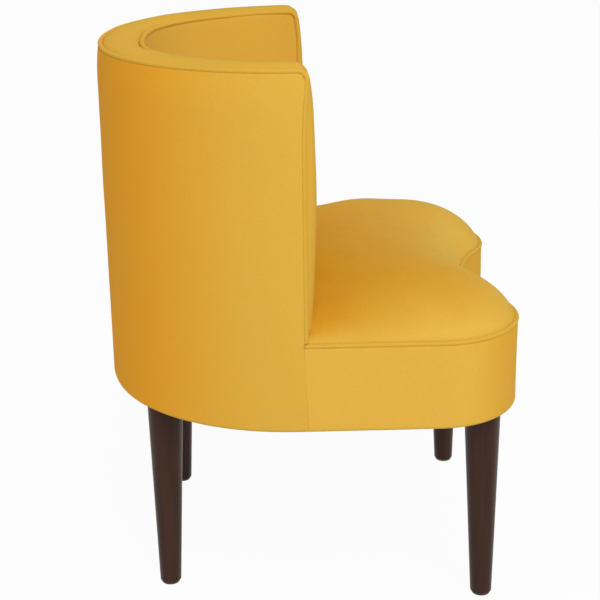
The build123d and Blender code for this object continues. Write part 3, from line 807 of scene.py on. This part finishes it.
def mixed(tree, factor, first, second):
    """A colour mix of three sockets."""
    mix = node(tree, "ShaderNodeMix", data_type="RGBA")
    for slot, given in ((0, factor), (6, first), (7, second)):
        tree.links.new(given, mix.inputs[slot])
    return mix.outputs[2]


def sums(tree, operation, first, second):
    """A maths node; each side may be a socket or a plain value."""
    made = node(tree, "ShaderNodeMath", operation=operation)
    for slot, given in enumerate((first, second)):
        if isinstance(given, bpy.types.NodeSocket):
            tree.links.new(given, made.inputs[slot])
        else:
            made.inputs[slot].default_value = given
    return made.outputs[0]


def ranged(tree, socket, span, onto):
    """A value carried smoothly from one range to another."""
    values = {"From Min": span[0], "From Max": span[1], "To Min": onto[0], "To Max": onto[1]}
    made = node(tree, "ShaderNodeMapRange", values, interpolation_type="SMOOTHSTEP")
    tree.links.new(socket, made.inputs["Value"])
    return made.outputs["Result"]


def between(tree, socket, low, high):
    """How far a value has come between two others, smoothly from 0 to 1."""
    made = node(tree, "ShaderNodeMapRange", interpolation_type="SMOOTHSTEP")
    tree.links.new(socket, made.inputs["Value"])
    tree.links.new(low, made.inputs["From Min"])
    tree.links.new(high, made.inputs["From Max"])
    return made.outputs["Result"]


def place_of(tree, stretch=(1, 1, 1)):
    """Place on the object, with a stretch along its axes."""
    where = node(tree, "ShaderNodeTexCoord")
    moved = node(tree, "ShaderNodeMapping", {"Scale": stretch})
    tree.links.new(where.outputs["Object"], moved.inputs["Vector"])
    return moved.outputs["Vector"]


def noise_of(tree, vector, scale, detail, roughness):
    """A noise value at a place; its scale may be a socket or a plain value."""
    made = node(tree, "ShaderNodeTexNoise", {"Detail": detail, "Roughness": roughness})
    tree.links.new(vector, made.inputs["Vector"])
    if isinstance(scale, bpy.types.NodeSocket):
        tree.links.new(scale, made.inputs["Scale"])
    else:
        made.inputs["Scale"].default_value = scale
    return made.outputs["Fac"]


def shaded_pile_group():
    """Velvet pile with painted shade: its Light and Deep tones mixed by the way the surface faces and by its
    place, the shade faded out below a given height, with brushed patches and fine tufts.
    """
    tree, given, out = effect_group(
        "velvet_shaded_pile",
        [("Light", "colour", (1, 1, 1, 1)), ("Deep", "colour", (0.5, 0.5, 0.5, 1)),
         ("Shade Facing", "vector", (0, 1, 0)), ("Brush", "vector", (0, 0, 0)),
         ("Shade Facing From", "value", 0.0), ("Shade Facing To", "value", 1.0), ("Shade Fade Height", "value", -1.0),
         ("Patches", "value", 0.3), ("Tuft Scale", "value", 900.0)],
        [("Color", "colour"), ("Roughness", "value"), ("Height", "value")])
    where = place_of(tree)
    facing = node(tree, "ShaderNodeTexCoord").outputs["Normal"]
    # Painted shade: the tone moves from Light to Deep by the way the surface faces
    dot = node(tree, "ShaderNodeVectorMath", operation="DOT_PRODUCT")
    tree.links.new(facing, dot.inputs[0])
    tree.links.new(given.outputs["Shade Facing"], dot.inputs[1])
    # More painted shade, by the place on the object
    shade_by_place = node(tree, "ShaderNodeVectorMath", operation="DOT_PRODUCT")
    tree.links.new(where, shade_by_place.inputs[0])
    tree.links.new(given.outputs["Brush"], shade_by_place.inputs[1])
    facing_and_place = sums(tree, "ADD", dot.outputs["Value"], shade_by_place.outputs["Value"])
    shade_share = between(tree, facing_and_place, given.outputs["Shade Facing From"], given.outputs["Shade Facing To"])
    height_of = node(tree, "ShaderNodeSeparateXYZ")
    tree.links.new(where, height_of.inputs[0])
    # Painted lighter strip: the painted shade fades out below the given height, just above the seat welt
    shade_fade_top = sums(tree, "ADD", given.outputs["Shade Fade Height"], SHADE_FADE_SPAN)
    shade_faded = between(tree, height_of.outputs["Z"], given.outputs["Shade Fade Height"], shade_fade_top)
    shade_share = sums(tree, "MULTIPLY", shade_share, shade_faded)
    broad = noise_of(tree, where, 7.0, detail=3.0, roughness=0.55)
    drawn_out = place_of(tree, (1.0, 1.0, 0.3))
    streaks = noise_of(tree, drawn_out, 55.0, detail=3.0, roughness=0.6)
    brushed = sums(tree, "ADD", sums(tree, "MULTIPLY", broad, 0.7), sums(tree, "MULTIPLY", streaks, 0.3))
    patch = sums(tree, "MULTIPLY", sums(tree, "SUBTRACT", brushed, 0.5), given.outputs["Patches"])
    tone = sums(tree, "ADD", shade_share, sums(tree, "MULTIPLY", patch, 2.0))
    clear = node(tree, "ShaderNodeClamp")
    tree.links.new(tone, clear.inputs["Value"])
    colour = mixed(tree, clear.outputs["Result"], given.outputs["Light"], given.outputs["Deep"])
    tufts = noise_of(tree, where, given.outputs["Tuft Scale"], detail=2.0, roughness=0.6)
    speck = ranged(tree, tufts, (0.3, 0.7), (0.94, 1.05))
    flecked = node(tree, "ShaderNodeVectorMath", operation="SCALE")
    tree.links.new(colour, flecked.inputs[0])
    tree.links.new(speck, flecked.inputs["Scale"])
    tree.links.new(flecked.outputs["Vector"], out.inputs["Color"])
    tree.links.new(ranged(tree, streaks, (0.3, 0.7), (0.78, 0.92)), out.inputs["Roughness"])
    height = sums(tree, "ADD", tufts, sums(tree, "MULTIPLY", streaks, 0.4))
    tree.links.new(height, out.inputs["Height"])
    return tree


def grain_group():
    """Wood grain that runs along one axis, with pores and slow colour bands."""
    tree, given, out = effect_group(
        "wood_grain",
        [("Early", "colour", (0.5, 0.4, 0.3, 1)), ("Late", "colour", (0.4, 0.3, 0.2, 1)),
         ("Stretch", "vector", (60.0, 60.0, 3.0)), ("Contrast", "value", 1.0)],
        [("Color", "colour"), ("Roughness", "value"), ("Height", "value")])
    where = node(tree, "ShaderNodeTexCoord")
    moved = node(tree, "ShaderNodeVectorMath", operation="MULTIPLY")
    tree.links.new(where.outputs["Object"], moved.inputs[0])
    tree.links.new(given.outputs["Stretch"], moved.inputs[1])
    bands = noise_of(tree, moved.outputs["Vector"], 1.0, detail=5.0, roughness=0.62)
    pores = noise_of(tree, moved.outputs["Vector"], 9.0, detail=2.0, roughness=0.5)
    figure = ranged(tree, bands, (0.32, 0.68), (0.0, 1.0))
    share = sums(tree, "MULTIPLY", figure, given.outputs["Contrast"])
    tone = mixed(tree, share, given.outputs["Early"], given.outputs["Late"])
    pitted = ranged(tree, pores, (0.28, 0.42), (0.78, 1.0))
    dark = node(tree, "ShaderNodeVectorMath", operation="SCALE")
    tree.links.new(tone, dark.inputs[0])
    tree.links.new(pitted, dark.inputs["Scale"])
    tree.links.new(dark.outputs["Vector"], out.inputs["Color"])
    tree.links.new(ranged(tree, bands, (0.3, 0.7), (0.30, 0.42)), out.inputs["Roughness"])
    height = sums(tree, "ADD", pitted, sums(tree, "MULTIPLY", bands, 0.3))
    tree.links.new(height, out.inputs["Height"])
    return tree


def weave_group():
    """Plain weave of two crossing sets of yarns in plan."""
    tree, given, out = effect_group(
        "plain_weave",
        [("Yarn", "colour", (0.3, 0.3, 0.3, 1)), ("Gap", "colour", (0.1, 0.1, 0.1, 1)),
         ("Yarns per metre", "value", 400.0)],
        [("Color", "colour"), ("Height", "value")])
    where = node(tree, "ShaderNodeTexCoord")
    parts = node(tree, "ShaderNodeSeparateXYZ")
    tree.links.new(where.outputs["Object"], parts.inputs[0])
    beats = []
    for axis in ("X", "Y"):
        turns = sums(tree, "MULTIPLY", parts.outputs[axis], given.outputs["Yarns per metre"])
        beats.append(sums(tree, "SINE", sums(tree, "MULTIPLY", turns, 2 * math.pi), 0.0))
    over = sums(tree, "MULTIPLY", beats[0], beats[1])
    fuzz = noise_of(tree, where.outputs["Object"], 260.0, detail=3.0, roughness=0.6)
    lifted = sums(tree, "ADD", sums(tree, "MULTIPLY", over, 0.5), fuzz)
    level = ranged(tree, lifted, (0.0, 1.0), (0.0, 1.0))
    tree.links.new(mixed(tree, level, given.outputs["Gap"], given.outputs["Yarn"]), out.inputs["Color"])
    tree.links.new(level, out.inputs["Height"])
    return tree


def speckle_group():
    """Fine uneven tone of board, foam, wadding, plastic and plated steel."""
    tree, given, out = effect_group(
        "fine_speckle",
        [("Pale", "colour", (0.6, 0.6, 0.6, 1)), ("Dark", "colour", (0.4, 0.4, 0.4, 1)),
         ("Scale", "value", 300.0), ("Smooth", "value", 0.4), ("Rough", "value", 0.6)],
        [("Color", "colour"), ("Roughness", "value"), ("Height", "value")])
    where = node(tree, "ShaderNodeTexCoord").outputs["Object"]
    fine = noise_of(tree, where, given.outputs["Scale"], detail=3.0, roughness=0.6)
    broad = noise_of(tree, where, 14.0, detail=2.0, roughness=0.5)
    both = sums(tree, "ADD", sums(tree, "MULTIPLY", fine, 0.65), sums(tree, "MULTIPLY", broad, 0.35))
    level = ranged(tree, both, (0.3, 0.7), (0.0, 1.0))
    tree.links.new(mixed(tree, level, given.outputs["Dark"], given.outputs["Pale"]), out.inputs["Color"])
    spread = sums(tree, "SUBTRACT", given.outputs["Rough"], given.outputs["Smooth"])
    rough = sums(tree, "ADD", given.outputs["Smooth"], sums(tree, "MULTIPLY", spread, level))
    tree.links.new(rough, out.inputs["Roughness"])
    tree.links.new(fine, out.inputs["Height"])
    return tree


# Materials; a relief is a bump's strength and distance

PILE_RELIEF = (0.25, 0.0006)
GRAIN_RELIEF = (0.12, 0.0004)
WEAVE_RELIEF = (0.5, 0.0006)


def finish_with(name, group, values, relief, plain):
    """A material whose shader takes its varying inputs from a group and its plain ones as values."""
    made = bpy.data.materials.new(name)
    made.use_nodes = True
    tree = made.node_tree
    shader = tree.nodes["Principled BSDF"]
    effect = node(tree, "ShaderNodeGroup", node_tree=group)
    for key, value in values.items():
        effect.inputs[key].default_value = value
    for key, value in plain.items():
        shader.inputs[key].default_value = value
    tree.links.new(effect.outputs["Color"], shader.inputs["Base Color"])
    if "Roughness" in effect.outputs:
        tree.links.new(effect.outputs["Roughness"], shader.inputs["Roughness"])
    bump = node(tree, "ShaderNodeBump", {"Strength": relief[0], "Distance": relief[1]})
    tree.links.new(effect.outputs["Height"], bump.inputs["Height"])
    tree.links.new(bump.outputs["Normal"], shader.inputs["Normal"])
    return made


def chair_materials():
    """The chair's finishes, with four copies of the velvet that each carry their own painted shade."""
    shaded_pile, grain, weave, speckle = shaded_pile_group(), grain_group(), weave_group(), speckle_group()

    def wood(name, early, late, stretch, contrast, plain):
        values = {"Early": early, "Late": late, "Stretch": stretch, "Contrast": contrast}
        return finish_with(name, grain, values, GRAIN_RELIEF, plain)

    def speckled(name, pale, dark, scale, smooth, rough, relief, plain):
        values = {"Pale": pale, "Dark": dark, "Scale": scale, "Smooth": smooth, "Rough": rough}
        return finish_with(name, speckle, values, relief, plain)

    def woven(name, yarn, gap, yarns):
        values = {"Yarn": yarn, "Gap": gap, "Yarns per metre": yarns}
        return finish_with(name, weave, values, WEAVE_RELIEF, {"Roughness": 0.9, "Specular IOR Level": 0.15})

    # One cloth in four copies; their Light tones differ a little as painted light and shade for each part.
    # The covers: painted shade, a warmer deeper orange where they face the rear and up
    velvet = {"Light": (0.74, 0.43, 0.057, 1), "Deep": (0.91, 0.385, 0.017, 1), "Shade Facing": (0.0, 1.0, 0.3),
              "Shade Facing From": 0.05, "Shade Facing To": 1.0, "Shade Fade Height": -1.0, "Patches": 0.30, "Tuft Scale": 900.0}
    # The band and welts: a painted lighter tone towards the rear of the chair
    band_velvet = velvet | {"Light": (0.70, 0.406, 0.049, 1), "Deep": (0.78, 0.438, 0.050, 1),
                            "Shade Facing": (0, 0, 0), "Brush": (0, 1, 0), "Shade Facing From": 0.12, "Shade Facing To": 0.28}
    # The boxing: painted shade, darker where it faces the front
    boxing_velvet = velvet | {"Light": (0.775, 0.455, 0.064, 1), "Deep": (0.74, 0.388, 0.037, 1),
                              "Shade Facing": (0.0, -1.0, 0.0), "Shade Facing From": 0.2, "Shade Facing To": 0.9}
    # The seat: painted shade, darker where it faces up, towards the rear and on the near side, lighter on
    # the far side
    seat_velvet = velvet | {"Light": (0.74, 0.446, 0.064, 1), "Deep": (0.62, 0.283, 0.0125, 1),
                            "Shade Facing": (-0.49, -0.41, 1.88), "Brush": (-0.76, 2.33, 0.0),
                            "Shade Facing From": 1.14, "Shade Facing To": 2.14, "Shade Fade Height": 0.426}
    pile = {"Sheen Weight": 0.12, "Sheen Roughness": 0.5, "Sheen Tint": (1.0, 0.74, 0.2, 1),
            "Specular IOR Level": 0.08}
    return {
        "cover_velvet": finish_with("golden_velvet", shaded_pile, velvet, PILE_RELIEF, pile),
        "band_velvet": finish_with("golden_velvet_band", shaded_pile, band_velvet, PILE_RELIEF, pile),
        "boxing_velvet": finish_with("golden_velvet_boxing", shaded_pile, boxing_velvet, PILE_RELIEF, pile),
        "seat_velvet": finish_with("golden_velvet_seat", shaded_pile, seat_velvet, PILE_RELIEF, pile),
        "leg_wood": wood(
            "espresso_wood", (0.056, 0.022, 0.011, 1), (0.036, 0.014, 0.007, 1), (70.0, 70.0, 4.0), 0.8,
            {"Coat Weight": 0.03, "Coat Roughness": 0.3, "Specular IOR Level": 0.15}),
        "frame_timber": wood(
            "planed_timber", (0.66, 0.49, 0.30, 1), (0.48, 0.32, 0.17, 1), (40.0, 40.0, 40.0), 0.8,
            {"Specular IOR Level": 0.3}),
        "plywood": wood(
            "plywood_sheet", (0.62, 0.46, 0.29, 1), (0.46, 0.31, 0.18, 1), (8.0, 60.0, 260.0), 0.9,
            {"Specular IOR Level": 0.3}),
        "panel_board": speckled(
            "fibreboard", (0.40, 0.28, 0.17, 1), (0.28, 0.18, 0.10, 1), 320.0, 0.75, 0.9, (0.3, 0.0005), {}),
        "foam": speckled(
            "open_foam", (0.82, 0.78, 0.62, 1), (0.70, 0.64, 0.47, 1), 420.0, 0.9, 1.0, (0.6, 0.0010), {}),
        "wadding": speckled(
            "polyester_wadding", (0.88, 0.88, 0.86, 1), (0.76, 0.76, 0.74, 1), 160.0, 0.9, 1.0,
            (0.6, 0.0020), {"Sheen Weight": 0.3}),
        "cord": speckled(
            "twisted_cord", (0.74, 0.70, 0.60, 1), (0.56, 0.51, 0.42, 1), 500.0, 0.85, 0.95,
            (0.5, 0.0008), {}),
        "glide_plastic": speckled(
            "moulded_glide", (0.060, 0.050, 0.048, 1), (0.036, 0.030, 0.028, 1), 700.0, 0.45, 0.6,
            (0.15, 0.0002), {"Specular IOR Level": 0.5}),
        "fixing_steel": speckled(
            "zinc_plate", (0.66, 0.66, 0.67, 1), (0.48, 0.48, 0.50, 1), 450.0, 0.28, 0.42,
            (0.05, 0.0001), {"Metallic": 1.0}),
        "webbing": woven("jute_webbing", (0.36, 0.29, 0.20, 1), (0.20, 0.15, 0.09, 1), 320.0),
        "decking_cloth": woven("decking_cloth", (0.16, 0.16, 0.16, 1), (0.07, 0.07, 0.07, 1), 900.0),
        "dust_cloth": woven("dust_cloth", (0.030, 0.030, 0.031, 1), (0.014, 0.014, 0.015, 1), 1000.0),
    }


# The dressed chair

materials = chair_materials()
for part in frame["record"]["subparts"]:
    carried = frame["nodes"][part["node"]]
    carried.data.materials.clear()
    carried.data.materials.append(materials[part["material_slot"]])


def dress(piece, slot, *stands_for, finish=None):
    """Gives a piece its finish, and puts it in place of the frame's solids."""
    piece.data.materials.clear()
    piece.data.materials.append(materials[finish or slot])
    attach(piece, "root")
    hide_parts(*stands_for)
    return piece


back_outside = dress(leg_room(outside_back()), "cover_velvet", "outside_back_cover",
                     "outside_back_padding")
boxing = dress(leg_room(seat_boxing()), "cover_velvet", "seat_boxing_cover", "seat_boxing_padding",
               finish="boxing_velvet")
back_inside = dress(inside_back(), "cover_velvet", "inside_back_cover", "inside_back_foam")
band = dress(border_band(), "cover_velvet", "border_band_cover", "border_padding", finish="band_velvet")
cushion = dress(seat_cushion(), "cover_velvet", "seat_top_cover", "seat_foam", finish="seat_velvet")
outer_foot = SEAT_WELT_Z + WELT_RADIUS + OUTER_WELT_CLEAR
outer_welt = border_welt("outer_welt_piping", outer_seam, lean, outer_foot)
inner_welt = border_welt("inner_welt_piping", inner_seam, inner_lean, INNER_FOOT_Z)
welts = {"seat_welt": seat_welt(), "outer_back_welt": outer_welt, "inner_back_welt": inner_welt}
for welt, piece in welts.items():
    dress(piece, "cover_velvet", welt, welt + "_cord", finish="band_velvet")
dust = dress(leg_room(dust_sheet()), "dust_cloth", "dust_cover")


# Studio

FLOOR_REACH = 12.0
FLOOR_WHITE = 0.95
WORLD_STRENGTH = 0.485
LAMP_PLACE = Vector((-3.50, -1.10, 4.40))
LAMP_AIM = Vector((0, 0, 0.50))
LAMP_SIZE = 3.3
LAMP_POWER = 176.0
CAMERA_TARGET = Vector((0.0, 0.00794, 0.39179))
CAMERA_AZIMUTH = 268.70
CAMERA_ELEVATION = 19.115
CAMERA_ROLL = -0.803
CAMERA_DISTANCE = 2.2653
CAMERA_LENS = 86.29
CAMERA_SENSOR = 36.0


def studio_floor():
    """Pale floor that shows white and keeps the shadow."""
    mesh = bpy.data.meshes.new("studio_floor")
    corners = [(x * FLOOR_REACH, y * FLOOR_REACH, 0) for x, y in ((-1, -1), (1, -1), (1, 1), (-1, 1))]
    mesh.from_pydata(corners, [], [(0, 1, 2, 3)])
    floor = bpy.data.objects.new("studio_floor", mesh)
    bpy.context.scene.collection.objects.link(floor)
    paint = bpy.data.materials.new("pale_floor")
    paint.use_nodes = True
    tree = paint.node_tree
    tree.nodes.clear()
    out = node(tree, "ShaderNodeOutputMaterial")
    matt = node(tree, "ShaderNodeBsdfDiffuse", {"Color": (0.86, 0.86, 0.86, 1)})
    glow = node(tree, "ShaderNodeEmission", {"Color": (1, 1, 1, 1), "Strength": 1.0})
    ray = node(tree, "ShaderNodeLightPath")
    seen = sums(tree, "MAXIMUM", ray.outputs["Is Camera Ray"],
                sums(tree, "MAXIMUM", ray.outputs["Is Glossy Ray"], ray.outputs["Is Transmission Ray"]))
    share = sums(tree, "MULTIPLY", seen, FLOOR_WHITE)
    mix = node(tree, "ShaderNodeMixShader")
    tree.links.new(share, mix.inputs[0])
    tree.links.new(matt.outputs[0], mix.inputs[1])
    tree.links.new(glow.outputs[0], mix.inputs[2])
    tree.links.new(mix.outputs[0], out.inputs["Surface"])
    mesh.materials.append(paint)


def studio_light():
    """A square soft lamp that points at the chair."""
    lamp = bpy.data.lights.new("softbox", "AREA")
    lamp.shape = "SQUARE"
    lamp.size = LAMP_SIZE
    lamp.energy = LAMP_POWER
    holder = bpy.data.objects.new("softbox", lamp)
    holder.location = LAMP_PLACE
    holder.rotation_euler = (LAMP_AIM - LAMP_PLACE).to_track_quat("-Z", "Y").to_euler()
    bpy.context.scene.collection.objects.link(holder)


def studio_world():
    """Even light from all round, which the camera sees as white."""
    world = bpy.data.worlds.new("studio")
    bpy.context.scene.world = world
    world.use_nodes = True
    tree = world.node_tree
    tree.nodes.clear()
    out = node(tree, "ShaderNodeOutputWorld")
    soft = node(tree, "ShaderNodeBackground", {"Color": (1, 1, 1, 1), "Strength": WORLD_STRENGTH})
    white = node(tree, "ShaderNodeBackground", {"Color": (1, 1, 1, 1), "Strength": 1.0})
    ray = node(tree, "ShaderNodeLightPath")
    seen = sums(tree, "MAXIMUM", ray.outputs["Is Camera Ray"], ray.outputs["Is Transmission Ray"])
    mix = node(tree, "ShaderNodeMixShader")
    tree.links.new(seen, mix.inputs[0])
    tree.links.new(soft.outputs[0], mix.inputs[1])
    tree.links.new(white.outputs[0], mix.inputs[2])
    tree.links.new(mix.outputs[0], out.inputs["Surface"])


def studio_camera():
    """Camera that stands where the photograph was taken from."""
    around, above, roll = (math.radians(a) for a in (CAMERA_AZIMUTH, CAMERA_ELEVATION, CAMERA_ROLL))
    flat = math.cos(above)
    back = Vector((math.sin(around) * flat, -math.cos(around) * flat, math.sin(above)))
    level = Vector((0, 0, 1)).cross(back).normalized()
    rise = back.cross(level)
    right = level * math.cos(roll) + rise * math.sin(roll)
    up = back.cross(right)
    data = bpy.data.cameras.new("photo_view")
    data.sensor_width = CAMERA_SENSOR
    data.lens = CAMERA_LENS
    camera = bpy.data.objects.new("photo_view", data)
    turn = Matrix((right, up, back)).transposed().to_4x4()
    camera.matrix_world = Matrix.Translation(CAMERA_TARGET + back * CAMERA_DISTANCE) @ turn
    bpy.context.scene.collection.objects.link(camera)
    bpy.context.scene.camera = camera


studio_floor()
studio_world()
studio_light()
studio_camera()
bpy.context.scene.view_settings.view_transform = "Standard"
